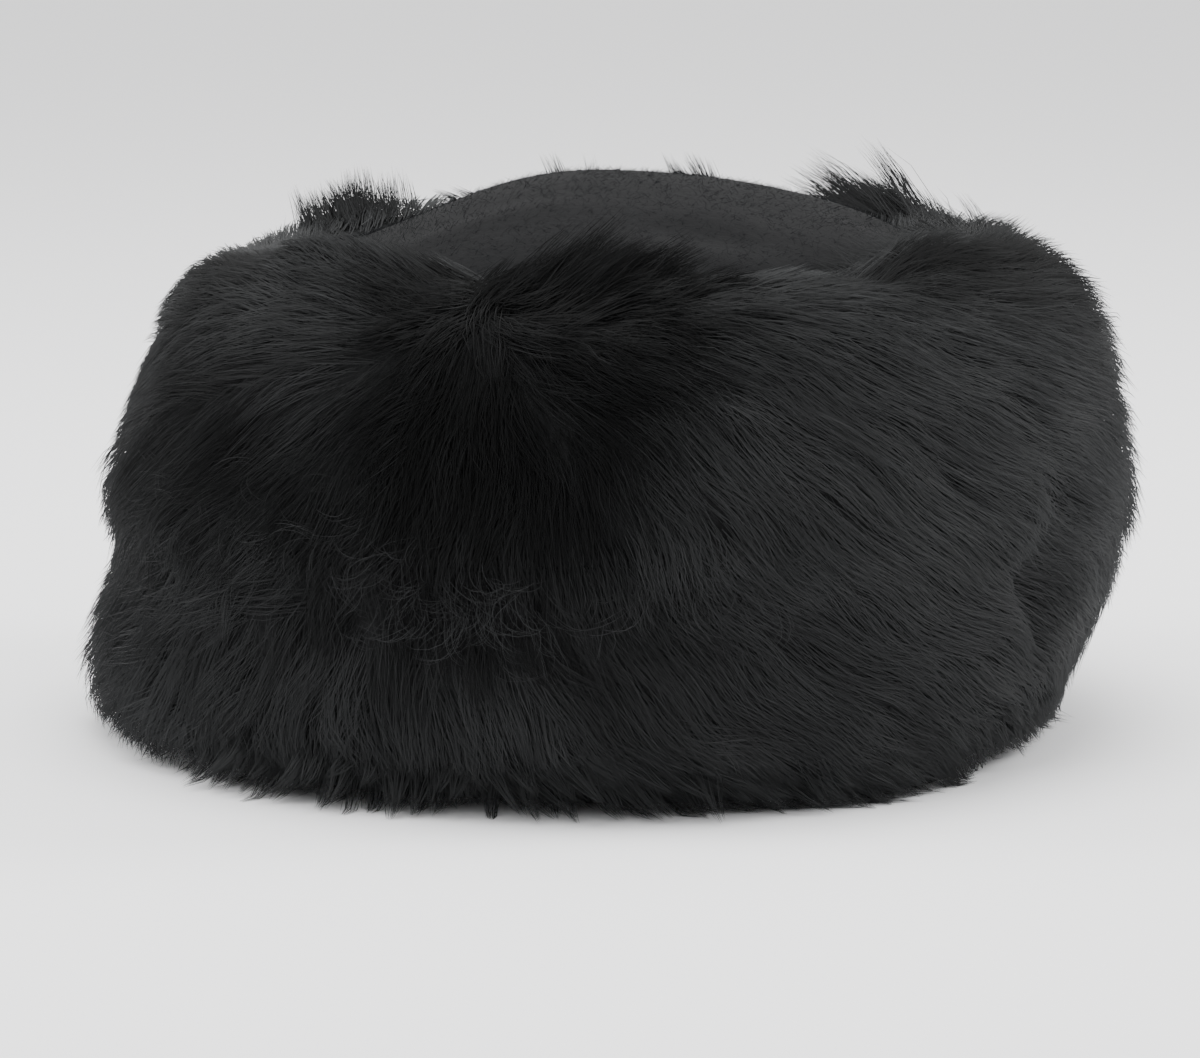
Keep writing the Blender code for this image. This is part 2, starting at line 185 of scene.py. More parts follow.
# Locks that stand up over the edge of the crown or hang past the rim, in mm and degrees. Each has the
# way that it starts in and the way that it ends in: sideways, upwards and outwards.
TUFTS = (
    # The front tufts by the crown's edge are painted near black: painted shade that matches the dark middle
    # of the front
    Tuft(-20, -12, 4, 26, 5, 18, 0.60, 0.75, 0.00, 0.85, 0.50, -0.10, 0.50, 0.00),
    Tuft(-16, -5, 2, 46, 6, 27, 0.60, 0.78, -0.05, 0.84, 0.55, -0.15, 0.60, 0.02),
    Tuft(-8, 3, 0, 38, 6, 24, 0.72, 0.66, -0.10, 0.88, 0.32, -0.15, 0.65, 0.02),
    Tuft(2, 13, 0, 32, 6, 19, 0.78, 0.52, -0.10, 0.94, 0.08, -0.10, 0.55, 0.06),
    Tuft(14, 34, -5, 26, 6, 13, 0.80, 0.42, -0.20, 0.95, 0.00, -0.10, 0.40, 0.22),
    Tuft(44, 108, -8, 56, 6, 18, -0.35, 0.50, -0.60, -0.50, 0.05, -0.75, 0.40, 0.26),
    Tuft(48, 104, -18, 42, 6, 15, -0.35, 0.50, -0.60, -0.50, 0.05, -0.75, 0.40, 0.26),
    Tuft(-141, -122, -6, 34, 7, 15, 0.30, 0.95, 0.05, 0.50, 0.75, 0.00, 0.25, 0.20),
    Tuft(-136, -129, -6, 8, 4, 18, 0.15, 0.95, 0.05, 0.40, 0.80, 0.00, 0.60, 0.15),
    Tuft(-163, -157, -5, 6, 3, 19, 0.85, 0.45, 0.00, 0.95, 0.10, 0.00, 0.50, 0.40),
    Tuft(118, 131, 0, 36, 5.5, 33, 0.70, 0.56, -0.30, 0.88, 0.36, -0.38, 0.50, 0.22),
    Tuft(122, 134, -3, 26, 5, 22, 0.66, 0.60, -0.25, 0.84, 0.40, -0.30, 0.40, 0.26),
    Tuft(104, 126, 0, 34, 6, 20, 0.60, 0.55, -0.20, 0.85, 0.25, -0.30, 0.40, 0.30),
    Tuft(84, 110, 0, 26, 6, 13, -0.20, 0.70, 0.40, -0.30, 0.40, 0.80, 0.40, 0.28),
    Tuft(161, 167, -8, 8, 3, 19, 0.20, 0.95, 0.00, 0.50, 0.80, 0.00, 0.50, 0.20),
    Tuft(-176, -171, -8, 6, 3, 18, 0.20, 0.95, 0.00, 0.40, 0.80, 0.00, 0.50, 0.20),
    Tuft(-52, -28, 118, 28, 4, 21, 0.10, -0.75, 0.50, 0.20, -0.35, 0.90, 0.85, 0.42),
    Tuft(-32, -12, 121, 20, 4, 18, 0.15, -0.75, 0.45, 0.25, -0.45, 0.85, 0.85, 0.42),
    Tuft(-14, 34, 120, 38, 4, 19, 0.50, -0.70, 0.35, 0.70, -0.40, 0.55, 0.85, 0.42),
    Tuft(40, 66, 111, 34, 4, 15, 0.45, -0.85, 0.10, 0.55, -0.80, 0.10, 0.80, 0.46),
    Tuft(-92, -54, 111, 30, 4, 15, -0.10, -0.90, 0.10, -0.15, -0.90, 0.10, 0.80, 0.46),
)

# The felt crown's height at each ring, in mm, from its middle to its sewn edge
CROWN = (
    CrownRow(0, 0.00, 130, 130, 130, 130),
    CrownRow(16, 0.20, 129, 129, 128.5, 128),
    CrownRow(32, 0.40, 126.5, 127, 126, 124),
    CrownRow(46, 0.58, 123.5, 124, 122.5, 118.5),
    CrownRow(59, 0.73, 120, 120.5, 119, 114),
    CrownRow(69, 0.85, 116, 116.5, 115, 110.5),
    CrownRow(77, 0.94, 112, 112, 111.5, 109),
    CrownRow(82, 0.99, 108, 108, 108, 107),
    CrownRow(87, 1.00, 103, 103, 103, 103),
    CrownRow(94, 1.00, 96, 96, 96, 96),
)
CROWN_INSET = 5.3
# Soft dents and swellings of the crown, in mm: where they lie across and along it, how broad and long
# they are, and how far they rise
CROWN_DENTS = (
    Dent(22, -58, 16, 9, -1.6),
    Dent(40, -30, 10, 22, -1.2),
    Dent(-30, -40, 26, 8, 0.9),
    Dent(58, -8, 9, 12, -1.6),
    Dent(-20, 0, 22, 44, 1.1),
)

# The hide's inner face: height and how far it leans in from the opening oval, in mm
UPPER_WALL = ((57.1, 0), (70, 0), (80, 0.8), (91, 2), (101, 4), (106, 4.6))
LOWER_WALL = ((0.3, 0), (20, 0), (40, 0), (56.9, 0))
# The underwool fills this share of the way from the core to the outer face
UNDERWOOL_SHARE = 0.62
# Nothing goes lower than this above the floor, in mm
LOWEST = 0.3
LOWEST_HAIR = 0.05
# The sum of the ripples is divided by this, so that it stays mostly between -1 and 1
RIPPLE_REACH = 2.6


def length_setting(name, description, default):
    return bpy.props.FloatProperty(
        name=name, description=description, default=default, unit="LENGTH"
    )


def colour_setting(name, description, default):
    return bpy.props.FloatVectorProperty(
        name=name, description=description, default=default, subtype="COLOR"
    )


def count_setting(name, description, default):
    return bpy.props.IntProperty(name=name, description=description, default=default)


class HatShape(bpy.types.PropertyGroup):
    opening_breadth: length_setting("Opening breadth", "Breadth of the head opening", 0.168)
    opening_length: length_setting("Opening length", "Length of the head opening, front to back", 0.198)
    felt_thickness: length_setting("Felt thickness", "Thickness of the crown's felt", 0.002)


class HairLook(bpy.types.PropertyGroup):
    lock_spacing: length_setting(
        "Lock spacing", "Distance between the roots of neighbouring locks", 0.0058
    )
    lock_radius: length_setting("Lock radius", "Radius of a lock at its root", 0.0052)
    lock_length: length_setting("Lock length", "Usual length of the hair along the fur", 0.028)
    hairs_in_lock: count_setting("Hairs in a lock", "Count of hairs in each lock", 27)
    hair_radius: length_setting("Hair radius", "Radius of a hair near its root", 0.00012)
    root_colour: colour_setting("Root colour", "Colour of the hair at its root", (0.0240, 0.0247, 0.0253))
    tip_colour: colour_setting("Tip colour", "Colour of the hair towards its tip", (0.0325, 0.0336, 0.0344))
    roughness: bpy.props.FloatProperty(
        name="Roughness", description="Roughness of the hair", default=0.62, subtype="FACTOR"
    )
    seed: count_setting("Seed", "Number that the hair grows from", 11)


class CrownLook(bpy.types.PropertyGroup):
    felt_colour: colour_setting("Felt colour", "Colour of the crown's felt", (0.0031, 0.0033, 0.0037))
    nap_count: count_setting("Nap hairs", "Count of the short hairs on the felt", 10000)
    nap_length: length_setting("Nap length", "Usual length of the felt's short hairs", 0.0022)


class StudioLook(bpy.types.PropertyGroup):
    floor_colour: colour_setting("Floor colour", "Colour of the floor", (0.93, 0.93, 0.94))
    camera_distance: length_setting(
        "Camera distance", "Distance from the camera to the hat's middle", 1.35
    )
    camera_elevation: bpy.props.FloatProperty(
        name="Camera elevation", description="Angle of the camera above the level",
        default=math.radians(8), subtype="ANGLE",
    )
    frame_breadth: length_setting(
        "Frame breadth", "Breadth that the picture shows at the hat's middle", 0.2832
    )


# Shape


def blend_round(angle, front, right, back, left):
    """Values at angles in degrees, blended from those at the front, right, back and left."""
    across = np.sin(np.radians(angle))
    along = np.cos(np.radians(angle))
    side = np.where(across > 0, right, left)
    end = np.where(along > 0, front, back)
    return side * across**2 + end * along**2


def on_oval(angle, grow, height):
    """Points in metres at angles on the opening oval, grown outwards in mm, at heights in mm."""
    shape = bpy.context.scene.hat_shape
    turn = np.radians(angle)
    x = (shape.opening_breadth / 2 + grow * MM) * np.sin(turn)
    y = -(shape.opening_length / 2 + grow * MM) * np.cos(turn)
    return np.stack([x, y, height * MM + 0 * x], -1)


def column(rows, name):
    """One column of a table."""
    return np.array([getattr(row, name) for row in rows], float)


def with_bumps(total, bumps, angle, path):
    """Adds soft bumps to the values at places on the fur."""
    for bump in bumps:
        away = (angle - bump.angle + 180) % 360 - 180
        total = total + bump.amount * np.exp(
            -((away / bump.angle_spread) ** 2) - ((path - bump.path) / bump.path_spread) ** 2
        )
    return total


def swell_at(angle, path):
    """How much further out the hair stands than the profile, as a share of its reach."""
    return with_bumps(0 * angle, SWELLS, angle, path)


def place(angle, path, share):
    """Points at a share of the way from the hair's core to its outer face."""
    paths = column(PROFILE, "path")
    around = [np.interp(path, paths, column(PROFILE, side)) for side in SIDES]
    outer_grow = blend_round(angle, *around)
    outer_height = np.interp(path, paths, column(PROFILE, "height"))
    core_grow = np.interp(path, paths, column(PROFILE, "core_grow"))
    core_height = np.interp(path, paths, column(PROFILE, "core_height"))
    share = share * (1 + swell_at(angle, path))
    grow = core_grow + share * (outer_grow - core_grow)
    height = core_height + share * (outer_height - core_height)
    return on_oval(angle, grow, np.maximum(height, LOWEST))


def flow(angle, path):
    """Degrees from straight down that the hair takes at each place."""
    angle = (angle + 180) % 360 - 180
    heights = np.array(sorted(FLOW_ROWS), float)
    rows = np.stack([np.interp(angle, FLOW_ANGLES, FLOW_ROWS[key]) for key in sorted(FLOW_ROWS)])
    at = np.interp(path, heights, np.arange(len(heights)))
    low = np.clip(np.floor(at).astype(int), 0, len(heights) - 2)
    part = np.clip(at - low, 0, 1)
    lower = np.take_along_axis(rows, low[None], 0)[0]
    upper = np.take_along_axis(rows, low[None] + 1, 0)[0]
    return lower * (1 - part) + upper * part


def ripple(angle, path, phases):
    """A soft uneven value, mostly between -1 and 1, that goes round the head without a seam."""
    turn = np.radians(angle)
    waves = (
        np.sin(5 * turn + path / 11 + phases[0])
        + np.sin(9 * turn - path / 8 + phases[1])
        + np.sin(17 * turn + path / 17 + phases[2])
        + np.sin(23 * turn - path / 6 + phases[3])
    )
    return waves / RIPPLE_REACH


# Hair

# Paths and lengths are in mm, and angles in degrees round the head. A share is of the way from the
# hair's core to its outer face. A pair of numbers is the range that a random value is drawn from.

# The roots of the locks: between which paths they lie, how densely, and on how wide a ring, which
# grows over the crest
UPPER_ROOTS = (-20, 71)
LOWER_ROOTS = (63, 127)
MEAN_DENSITY = 0.81
ROOTS_RADIUS = 91.5
ROOTS_GROWTH = 16
CREST_PATH = -14
CREST_RUN = 40
ANGLE_JITTER = 0.32
PATH_JITTER = 0.4
DENSITY_PLACES = 721

# Round the back the locks are fewer and broader, and their hairs thicker
BACK_START = 75
BACK_RUN = 45
BACK_DENSITY = 0.58
BACK_BREADTH = 1.5
BACK_THICKER = 0.4

# The course of a lock. It rises from its root to its tip, and it waves softly, least at the crest.
LOCK_STEPS = 9
ROOT_SHARE = 0.58
RISE_POWER = 1.7
FUR_HALF_BREADTH = 112
FUR_HALF_LENGTH = 127
CURL_START = 0.35
CURL_POWER = 1.2
WAVE_TURN = 10
WAVE_PATH = 4.5
WAVE_ANGLE = 6
WAVE_START = -6
WAVE_RUN = 40
LEAST_WAVE = 0.1

# Hairs that lie along the fur: where on their lock they start and end, how deep they lie under its
# line, and how they taper, gather towards the lock's tip and sway
STRAIGHT_STOPS = 3
CURLED_STOPS = 7
LYING_START = (0, 0.30)
LYING_END = (0.68, 1.0)
MIDDLE_JITTER = (-0.12, 0.12)
LYING_DEPTH = (-0.11, 0.02)
DEPTH_JITTER = 0.02
LYING_GIRTH = (0.75, 1.2)
TAPER_POWER = 2.2
GATHER_POWER = 0.8
SWAY_AROUND = 0.8
SWAY_DOWN = 0.6
FUR_RADIUS = 118
OUTWARD_STEP = 0.1
TONE_JITTER = 0.05

# Hairs of tufts: how much their locks differ in place, length and aim, and the hairs in a lock
TUFT_STOPS = 4
TUFT_HAIRS = 18
TUFT_ROOT_SHARE = 0.55
TUFT_RING_RADIUS = 100
TUFT_ANGLE_JITTER = 1.2
TUFT_PATH_JITTER = (-5, 6)
TUFT_LOCK_LENGTH = (0.72, 1.08)
TUFT_HAIR_LENGTH = (0.7, 1.0)
TUFT_LOCK_AIM = 0.14
TUFT_HAIR_AIM = 0.09
TUFT_GIRTH = (0.75, 1.15)
TUFT_TONE_JITTER = 0.06

# How far the hairs' shading leans towards the fur's own, and how far a tuft's shading looks upwards
FUR_SHADING = 0.86
STANDING_UP = 0.7

# The hair's own map: where tone and length lie on it, and how broad a hair is on it
MAP_TONE = (0.03, 0.92)
MAP_LENGTH = (0.02, 0.96)
MAP_BREADTH = 0.012
MAP_CORNERS = (0.0, 1.0, 0.45)
MAP_POINT = 0.5

# Both courses: the length, reach, wander and tone of their locks
PHASE = (0, 6.28)
PHASES = 12
UPPER_LENGTH = (0.75, 1.15)
LOWER_LENGTH = (0.75, 1.1)
SHORTEST_UPPER = 14
SHORTEST_LOWER = 9
LEAST_FALL = 0.12
LOCK_GATHER = (0.05, 0.42)
OUTER_SHARE = 0.97
SHARE_RIPPLE = 0.05
SHARE_JITTER = 0.022
WANDER_RIPPLE = 9
UPPER_WANDER = 8
LOWER_WANDER = 9
# The hair lies calmest at the crest, and wanders in full this far down from there
CALM_PATH = -20
CALM_RUN = 50
LEAST_WANDER = 0.35
# The usual tone, and how far it ripples
MIDDLE_TONE = 0.5
TONE_RIPPLE = 0.09
# The fur lies smoothest round this angle, and is most tangled round the other
SMOOTH_ANGLE = 42
SMOOTH_SPREAD = 34
SMOOTHING = 0.5
TANGLE_ANGLE = -52
TANGLE_SPREAD = 26
TANGLE_WANDER = 14

# The break between the courses, and the lower hair that sinks in under it
BREAK_PATH = 78
BREAK_RIPPLE = 3
BREAK_JITTER = (-5, 6)
SINK_SHARE = 0.10
SINK_END = 84
SINK_RUN = 16

# Where the hair ends at the rim, and in the longer fringe along its front
PLAIN_RIM = (124, 136)
FRINGE_RIM = (136, 151)
FRINGE_ROOTS = 104
FRINGE_SHARE = 0.5
FRINGE_LENGTH = 44
FRINGE_GATHER = 0.85
FringePlace = namedtuple("FringePlace", "angle spread share")
FRINGE_PLACES = (
    FringePlace(-24, 21, 1),
    FringePlace(14, 19, 0.7),
)

# Locks that hide the hide, where the hair parts and along the rim
PARTING_ANGLE = -17
PARTING_SPREAD = 4.5
PARTING_LOCKS = 80
PARTING_PATHS = (-16, 66)
PARTING_LENGTH = (16, 26)
WHORL_ANGLE = -1
WHORL_SPREAD = 6
WHORL_LOCKS = 34
WHORL_PATHS = (4, 24)
RIM_LOCKS = 60
RIM_ANGLES = (-52, 44)
RIM_PATHS = (106, 126)
RIM_END = 136
RIM_LENGTH = (9, 24)
Cover = namedtuple("Cover", "share share_jitter wander tone tone_jitter gather")
# The parting's locks are painted near black: painted shade in the parting and the dark middle of the front
PARTING_COVER = Cover(0.94, 0.03, 12, 0.05, 0.04, (0.1, 0.4))
RIM_COVER = Cover(0.92, 0.03, 12, 0.45, 0.05, (0.05, 0.3))

# Curled locks at the break
CURLED_HAIRS = 4
CURLED_GIRTH = 0.7
CURLED_BREADTH = 0.5
CURLED_ROOT_SHARE = 0.72
CURLED_OUTER_SHARE = 0.98
CURLED_SHARE_JITTER = 0.03
CURLED_LENGTH = (12, 20)
CURLED_WANDER = 38
CURLED_TURN = (0.6, 1.3)
CURLED_TONE_JITTER = 0.06
CURLED_GATHER = (0.1, 0.5)
ROOTS_ABOVE_CURL = 8

Locks = namedtuple("Locks", "angle path length first_share last_share wander curl gather tone")


def unit(vectors):
    """Vectors made one long."""
    return vectors / np.maximum(np.linalg.norm(vectors, axis=-1, keepdims=True), TINY)


def lock_roots(rng, first_path, last_path, spacing):
    """Uneven places for the roots of locks, as angles and paths, further apart at the back."""
    angles = []
    paths = []
    rows = int(round((last_path - first_path) / spacing))
    for i in range(rows):
        path = first_path + (i + 0.5) * (last_path - first_path) / rows
        radius = ROOTS_RADIUS + ROOTS_GROWTH * min(1, max(0, path - CREST_PATH) / CREST_RUN)
        count = int(2 * math.pi * radius * MEAN_DENSITY / spacing)
        jitter = rng.uniform(-ANGLE_JITTER, ANGLE_JITTER, count)
        step = (np.arange(count) + 0.5 * (i % 2) + jitter) / count
        angles.append(spread_round(step % 1))
        paths.append(path + rng.uniform(-PATH_JITTER, PATH_JITTER, count) * spacing)
    return np.concatenate(angles), np.concatenate(paths)


def behind(angle):
    """0 at the front and sides, and 1 round the back."""
    return np.clip((np.abs(angle) - BACK_START) / BACK_RUN, 0, 1)


def spread_round(step):
    """Angles for steps from 0 to 1 round the head, further apart at the back."""
    angles = np.linspace(-180, 180, DENSITY_PLACES)
    density = 1 - (1 - BACK_DENSITY) * behind(angles)
    total = np.concatenate([[0], np.cumsum((density[1:] + density[:-1]) / 2)])
    return np.interp(step, total / total[-1], angles)


def lock_lines(locks):
    """Angles, paths and shares of points down the middle of each lock."""
    angles = [locks.angle]
    paths = [locks.path]
    step = locks.length / (LOCK_STEPS - 1)
    for i in range(1, LOCK_STEPS):
        part = i / (LOCK_STEPS - 1)
        calm = np.clip((paths[-1] - WAVE_START) / WAVE_RUN, LEAST_WAVE, 1)
        waves = WAVE_TURN * calm * np.sin(paths[-1] / WAVE_PATH + angles[-1] / WAVE_ANGLE)
        curl = locks.curl * max(0, part - CURL_START) ** CURL_POWER
        turn = np.radians(flow(angles[-1], paths[-1]) + waves + locks.wander + curl)
        ahead = np.radians(angles[-1])
        radius = np.hypot(FUR_HALF_BREADTH * np.cos(ahead), FUR_HALF_LENGTH * np.sin(ahead))
        angles.append(angles[-1] + np.degrees(step * np.sin(turn) / radius))
        paths.append(paths[-1] + step * np.cos(turn))
    parts = np.linspace(0, 1, LOCK_STEPS)
    rise = 1 - (1 - parts) ** RISE_POWER
    shares = locks.first_share[:, None] + (locks.last_share - locks.first_share)[:, None] * rise
    return np.stack(angles, 1), np.stack(paths, 1), shares


def along_lock(values, stops):
    """Values at stops from 0 to 1 down each hair's lock. Values are (hairs, steps)."""
    at = np.clip(stops, 0, 1) * (LOCK_STEPS - 1)
    low = np.clip(at.astype(int), 0, LOCK_STEPS - 2)
    part = at - low
    return (
        np.take_along_axis(values, low, 1) * (1 - part)
        + np.take_along_axis(values, low + 1, 1) * part
    )


def disc(rng, count):
    """Random places in a disc of radius 1."""
    radius = np.sqrt(rng.uniform(0, 1, count))
    turn = rng.uniform(0, 2 * math.pi, count)
    return radius * np.cos(turn), radius * np.sin(turn)


def hair_girths(stops_count):
    """How thick a hair is at each of its stops, as a share of its radius."""
    parts = np.linspace(0, 1, stops_count)
    return np.maximum(1 - parts**TAPER_POWER, 0)


def lying_hair(rng, locks, stops_count, each):
    """Lines, outward directions, girths and tones of all the hairs in locks that lie along the fur."""
    look = bpy.context.scene.hair_look
    count = len(locks.angle) * each
    line_angles, line_paths, line_shares = (np.repeat(line, each, 0) for line in lock_lines(locks))
    start = rng.uniform(*LYING_START, count)[:, None]
    end = rng.uniform(*LYING_END, count)[:, None]
    stops = start + (end - start) * np.linspace(0, 1, stops_count)[None]
    if stops_count == STRAIGHT_STOPS:
        stops[:, 1] += (end - start)[:, 0] * rng.uniform(*MIDDLE_JITTER, count)
    across, down = disc(rng, count)
    back = behind(np.repeat(locks.angle, each))
    across = across * (1 + (BACK_BREADTH - 1) * back)
    gather = np.repeat(locks.gather, each)[:, None]
    curled = stops_count == CURLED_STOPS
    breadth = CURLED_BREADTH if curled else 1
    girth = CURLED_GIRTH if curled else 1
    hold = (1 - gather * stops**GATHER_POWER) * breadth * look.lock_radius / MM
    sway = rng.normal(0, 1, (count, 2))
    bend = np.sin((stops - start) / (end - start) * math.pi)
    around = across[:, None] * hold + sway[:, :1] * SWAY_AROUND * bend
    hair_angle = along_lock(line_angles, stops) + np.degrees(around / FUR_RADIUS)
    hair_path = along_lock(line_paths, stops) + down[:, None] * hold + sway[:, 1:] * SWAY_DOWN * bend
    depth = rng.uniform(*LYING_DEPTH, count)[:, None] + DEPTH_JITTER * rng.normal(0, 1, count)[:, None]
    hair_share = along_lock(line_shares, stops) + depth * np.sqrt(stops)
    lines = place(hair_angle, hair_path, hair_share)
    outward = unit(place(hair_angle, hair_path, hair_share + OUTWARD_STEP) - lines)
    size = rng.uniform(*LYING_GIRTH, count) * (1 + BACK_THICKER * back) * girth
    girths = hair_girths(stops_count)[None] * size[:, None]
    tones = np.repeat(locks.tone, each) + rng.normal(0, TONE_JITTER, count)
    return lines, outward, girths, tones


def standing_hair(rng, tuft):
    """Lines, outward directions, girths and tones of the hairs of a tuft."""
    each = TUFT_HAIRS
    lock_angle = np.linspace(tuft.first_angle, tuft.last_angle, tuft.locks)
    lock_angle = lock_angle + rng.normal(0, TUFT_ANGLE_JITTER, tuft.locks)
    lock_path = tuft.path + rng.uniform(*TUFT_PATH_JITTER, tuft.locks)
    lock_length = tuft.length * rng.uniform(*TUFT_LOCK_LENGTH, tuft.locks)
    aims = rng.normal(0, TUFT_LOCK_AIM, (tuft.locks, 3))
    locks = (lock_angle, lock_path, lock_length)
    angle, path, length = (np.repeat(values, each) for values in locks)
    aims = np.repeat(aims, each, 0)
    count = len(angle)
    across, down = disc(rng, count)
    angle = angle + np.degrees(across * tuft.radius / TUFT_RING_RADIUS)
    root = place(angle, path + down * tuft.radius, TUFT_ROOT_SHARE + 0 * angle)
    turn = np.radians(angle)
    sideways = np.stack([np.cos(turn), np.sin(turn), 0 * turn], -1)
    outwards = np.stack([np.sin(turn), -np.cos(turn), 0 * turn], -1)
    upwards = np.array([0, 0, 1.0])
    start = sideways * tuft.sideways + outwards * tuft.outwards + upwards * tuft.upwards
    end = sideways * tuft.end_sideways + outwards * tuft.end_outwards + upwards * tuft.end_upwards
    length = length * rng.uniform(*TUFT_HAIR_LENGTH, count) * MM
    lines = [root]
    parts = np.linspace(0, 1, TUFT_STOPS)
    for before, after in zip(parts, parts[1:]):
        middle = (before + after) / 2
        aim = start * (1 - middle) + end * middle + aims
        course = unit(aim + rng.normal(0, TUFT_HAIR_AIM, (count, 3)))
        lines.append(lines[-1] + course * (length * (after - before))[:, None])
    lines = np.stack(lines, 1)
    gathered = lines.reshape(tuft.locks, each, TUFT_STOPS, 3)
    middle_line = gathered.mean(1, keepdims=True)
    pull = (tuft.gather * parts**GATHER_POWER)[None, None, :, None]
    lines = (gathered * (1 - pull) + middle_line * pull).reshape(count, TUFT_STOPS, 3)
    girths = hair_girths(TUFT_STOPS)[None] * rng.uniform(*TUFT_GIRTH, count)[:, None]
    facing = unit(upwards * STANDING_UP + outwards * np.cos(turn)[:, None])
    outward = np.repeat(facing[:, None], TUFT_STOPS, 1)
    return lines, outward, girths, rng.normal(tuft.tone, TUFT_TONE_JITTER, count)


def tube_faces(rings):
    """Corners of a closed three-sided tube with a point at its end, outwards: quads and triangles."""
    quads = []
    for k in range(rings - 1):
        for j in range(3):
            after = (j + 1) % 3
            quads.append((3 * k + j, 3 * (k + 1) + j, 3 * (k + 1) + after, 3 * k + after))
    last = 3 * (rings - 1)
    point = 3 * rings
    tips = [(last + j, point, last + (j + 1) % 3) for j in range(3)]
    return quads, tips + [(0, 1, 2)]


def tube_points(lines, outward, girths, radius):
    """Points of a closed tapered tube round each line, rings of three and a tip, and their normals.

    The normals lean from the tube's own towards the fur's, so that the fur shades softly.
    """
    count, stops, _ = lines.shape
    rings = stops - 1
    course = np.empty_like(lines)
    course[:, 1:-1] = lines[:, 2:] - lines[:, :-2]
    course[:, 0] = lines[:, 1] - lines[:, 0]
    course[:, -1] = lines[:, -1] - lines[:, -2]
    course = unit(course)
    side = unit(np.cross(course, outward))
    up = unit(np.cross(side, course))
    corners = np.radians([90, 210, 330])
    ring = (
        np.cos(corners)[None, None, :, None] * side[:, :rings, None]
        + np.sin(corners)[None, None, :, None] * up[:, :rings, None]
    )
    soft = unit((1 - FUR_SHADING) * ring + FUR_SHADING * outward[:, :rings, None])
    normals = np.concatenate([soft.reshape(count, 3 * rings, 3), outward[:, -1:]], 1)
    ring = lines[:, :rings, None] + ring * (girths[:, :rings] * radius)[:, :, None, None]
    points = np.concatenate([ring.reshape(count, 3 * rings, 3), lines[:, -1:]], 1)
    points[..., 2] = np.maximum(points[..., 2], LOWEST_HAIR * MM)
    return points.reshape(-1, 3), normals.reshape(-1, 3)


def hair_piece(name, groups, radius, material):
    """One mesh of closed tapered tubes, one for each hair, with the hair's own map of tone and length."""
    points = []
    normals = []
    loops = []
    sizes = []
    map_points = []
    first = 0
    for lines, outward, girths, tones in groups:
        count, stops, _ = lines.shape
        rings = stops - 1
        each = 3 * rings + 1
        tube, tube_normals = tube_points(lines, outward, girths, radius)
        points.append(tube)
        normals.append(tube_normals)
        quads, triangles = tube_faces(rings)
        corner = np.array([c for face in quads + triangles for c in face])
        loops.append((first + np.arange(count)[:, None] * each + corner[None]).ravel())
        sizes.append(np.tile([4] * len(quads) + [3] * len(triangles), count))
        along = np.where(corner == 3 * rings, rings, corner // 3) / rings
        beside = np.where(corner == 3 * rings, MAP_POINT, np.array(MAP_CORNERS)[corner % 3])
        u = MAP_TONE[0] + MAP_TONE[1] * np.clip(tones, 0, 1)[:, None] + MAP_BREADTH * beside[None]
        v = MAP_LENGTH[0] + MAP_LENGTH[1] * np.broadcast_to(along[None], u.shape)
        map_points.append(np.stack([u, v], -1).reshape(-1, 2))
        first += count * each
    loops = np.concatenate(loops)
    sizes = np.concatenate(sizes)
    starts = np.concatenate([[0], np.cumsum(sizes)[:-1]])
    mesh = bpy.data.meshes.new(name)
    mesh.vertices.add(first)
    mesh.vertices.foreach_set("co", np.concatenate(points).astype(np.float32).ravel())
    mesh.loops.add(len(loops))
    mesh.loops.foreach_set("vertex_index", loops.astype(np.int32))
    mesh.polygons.add(len(starts))
    mesh.polygons.foreach_set("loop_start", starts.astype(np.int32))
    mesh.polygons.foreach_set("use_smooth", np.ones(len(starts), bool))
    hair_map = mesh.uv_layers.new(name=HAIR_MAP)
    hair_map.data.foreach_set("uv", np.concatenate(map_points).astype(np.float32).ravel())
    mesh.update(calc_edges=True)
    mesh.normals_split_custom_set_from_vertices(np.concatenate(normals))
    mesh.materials.append(material)
    piece = bpy.data.objects.new(name, mesh)
    bpy.context.scene.collection.objects.link(piece)
    return piece


def in_sector(group, first, last):
    """The hairs of a group whose roots lie between two angles."""
    root = group[0][:, 0]
    angle = np.degrees(np.arctan2(root[:, 0], -root[:, 1]))
    if first > last:
        keep = (angle >= first) | (angle < last)
    else:
        keep = (angle >= first) & (angle < last)
    return tuple(part[keep] for part in group)


def tone_with_painted_light_at(angle, path, phases):
    """The tone of the hair at each place, 0 darkest and 1 palest: an uneven ripple, with the painted light
    and shade added to it.
    """
    total = MIDDLE_TONE + TONE_RIPPLE * unevenness(angle) * ripple(angle, path, phases)
    return with_bumps(total, PAINTED_SHADE_AND_LIGHT, angle, path)


def unevenness(angle):
    """How uneven the fur lies: it is smoothest towards the right of the front."""
    return 1 - SMOOTHING * np.exp(-(((angle - SMOOTH_ANGLE) / SMOOTH_SPREAD) ** 2))


def course_locks(rng, roots, lengths):
    """The ripples' phases and the locks of a course: their roots, lengths and how steeply they fall."""
    look = bpy.context.scene.hair_look
    phases = rng.uniform(*PHASE, PHASES)
    angle, path = lock_roots(rng, *roots, look.lock_spacing / MM)
    length = look.lock_length / MM * rng.uniform(*lengths, len(angle))
    fall = np.maximum(np.cos(np.radians(flow(angle, path))), LEAST_FALL)
    return phases, angle, path, length, fall


def last_shares(rng, angle, path, phases):
    """How far out each lock's tip lies: near the outer face, and a little uneven."""
    rippled = SHARE_RIPPLE * unevenness(angle) * ripple(angle, path, phases)
    return OUTER_SHARE + rippled + rng.normal(0, SHARE_JITTER, len(angle))


